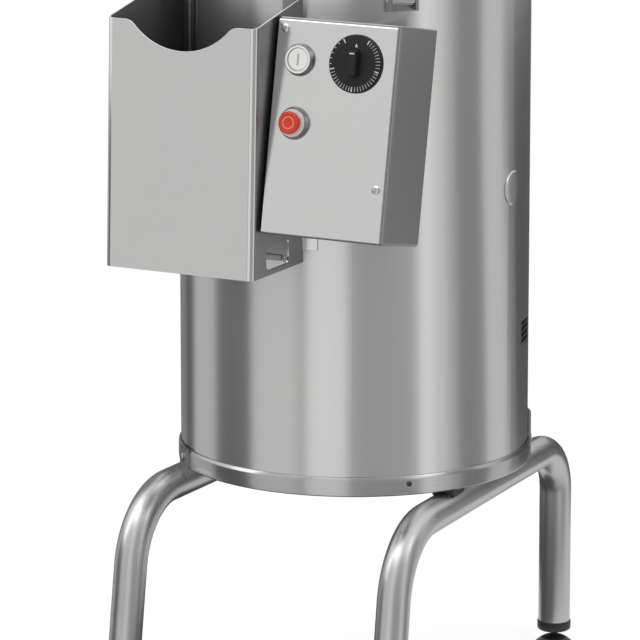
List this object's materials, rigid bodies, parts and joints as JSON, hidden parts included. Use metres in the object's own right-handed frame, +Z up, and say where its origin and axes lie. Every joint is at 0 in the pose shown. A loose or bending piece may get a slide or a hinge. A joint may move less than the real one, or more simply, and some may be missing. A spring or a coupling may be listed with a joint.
{
  "type": "garlic peeling machine",
  "caption": "Floor-standing garlic peeler: upright steel drum with a spinning abrasive plate, hinged lid, side discharge chute and tilted control box on bent tube legs.",
  "frame": {"origin": "on the floor, under the middle of the box around the whole machine", "axes": "+Z up along the drum, -Y towards the operator, +X to the right of the operator"},
  "size_m": [0.345, 0.497, 0.8083],
  "materials": {
    "satin_steel": "satin stainless sheet and tube",
    "bright_steel": "bright plated fasteners and pins",
    "black_plastic": "black moulded plastic",
    "black_rubber": "black rubber",
    "grey_plastic": "grey moulded plastic",
    "white_plastic": "white button cap",
    "red_plastic": "red button cap",
    "cast_metal": "grey castings and pulleys",
    "brass_fitting": "turned brass",
    "abrasive": "grit-coated aluminium"
  },
  "bodies": {
    "machine": {"right_leg_tube": "satin_steel", "left_leg_tube": "satin_steel", "cross_tube": "satin_steel", "rail_plug": "black_plastic", "rail_saddles": "satin_steel", "rail_lugs": "satin_steel", "lug_bolts": "bright_steel", "leg_caps": "black_plastic", "base_ring": "satin_steel", "ring_screws": "bright_steel", "bottom_cover": "satin_steel", "drum_shell": "satin_steel", "top_rim": "satin_steel", "side_plug": "satin_steel", "vent_grille": "black_plastic", "cable_gland": "black_plastic", "drain_spout": "satin_steel", "water_inlet": "brass_fitting", "chamber_floor": "satin_steel", "chamber_liner": "abrasive", "bearing_housing": "cast_metal", "bearings": "bright_steel", "shaft_seal": "black_rubber", "drive_belt": "black_rubber", "motor_body": "cast_metal", "motor_plate": "satin_steel", "hinge_bracket": "satin_steel", "hinge_pin": "bright_steel", "latch_base": "satin_steel", "latch_pin": "bright_steel", "chute_box": "satin_steel", "chute_bolts": "bright_steel", "door_guides": "satin_steel", "control_box": "satin_steel", "control_panel": "satin_steel", "panel_screws": "bright_steel", "box_bracket": "satin_steel", "start_bezel": "bright_steel", "stop_bezel": "bright_steel", "timer_body": "grey_plastic", "contactor": "grey_plastic"},
    "lid": {"lid_shell": "satin_steel", "lid_seal": "black_rubber", "lid_handle": "black_plastic", "lid_hinge_arm": "satin_steel"},
    "latch": {"latch_lever": "satin_steel"},
    "door": {"door_panel": "satin_steel", "door_knob": "black_plastic"},
    "rotor": {"drive_shaft": "bright_steel", "peeling_plate": "abrasive", "plate_nut": "bright_steel", "driven_pulley": "cast_metal"},
    "motor_rotor": {"motor_shaft": "bright_steel", "motor_pulley": "cast_metal"},
    "start_cap": {"start_button": "white_plastic"},
    "stop_cap": {"stop_button": "red_plastic"},
    "timer_knob": {"timer_dial": "black_plastic"},
    "left_foot": {"foot_left": "black_plastic"},
    "right_foot": {"foot_right": "black_plastic"},
    "rear_foot": {"foot_rear": "black_plastic"}
  },
  "joints": [
    {"name": "lid_hinge", "type": "hinge", "parent": "machine", "child": "lid", "pos_m": [-0.12283, 0.15684, 0.7483], "axis": [-0.7478, -0.6639, 0], "range_deg": [0, 100]},
    {"name": "latch_hinge", "type": "hinge", "parent": "machine", "child": "latch", "pos_m": [0.11884, -0.11536, 0.709], "axis": [0.7478, 0.6639, 0], "range_deg": [-6, 100]},
    {"name": "door_slide", "type": "slide", "parent": "machine", "child": "door", "axis": [0, 0, 1], "range_m": [0, 0.116]},
    {"name": "plate_spin", "type": "hinge", "parent": "machine", "child": "rotor", "pos_m": [0, 0.0185, 0.462], "axis": [0, 0, 1], "continuous": true},
    {"name": "motor_spin", "type": "hinge", "parent": "machine", "child": "motor_rotor", "pos_m": [0.08123, -0.02469, 0.292], "axis": [0, 0, 1], "continuous": true},
    {"name": "start_press", "type": "slide", "parent": "machine", "child": "start_cap", "axis": [0, 0.9816, -0.1908], "range_m": [0, 0.003], "stiffness_N_per_m": 600, "springref_m": -0.002},
    {"name": "stop_press", "type": "slide", "parent": "machine", "child": "stop_cap", "axis": [0, 0.9816, -0.1908], "range_m": [0, 0.003], "stiffness_N_per_m": 600, "springref_m": -0.002},
    {"name": "timer_turn", "type": "hinge", "parent": "machine", "child": "timer_knob", "pos_m": [0.119, -0.2064, 0.6622], "axis": [0, 0.9816, -0.1908], "range_deg": [0, 300]},
    {"name": "left_foot_screw", "type": "slide", "parent": "machine", "child": "left_foot", "axis": [0, 0, -1], "range_m": [0, 0.02]},
    {"name": "right_foot_screw", "type": "slide", "parent": "machine", "child": "right_foot", "axis": [0, 0, -1], "range_m": [0, 0.02]},
    {"name": "rear_foot_screw", "type": "slide", "parent": "machine", "child": "rear_foot", "axis": [0, 0, -1], "range_m": [0, 0.02]}
  ],
  "couplings": [
    {"joint": "motor_spin", "follows": "plate_spin", "ratio": 2}
  ]
}
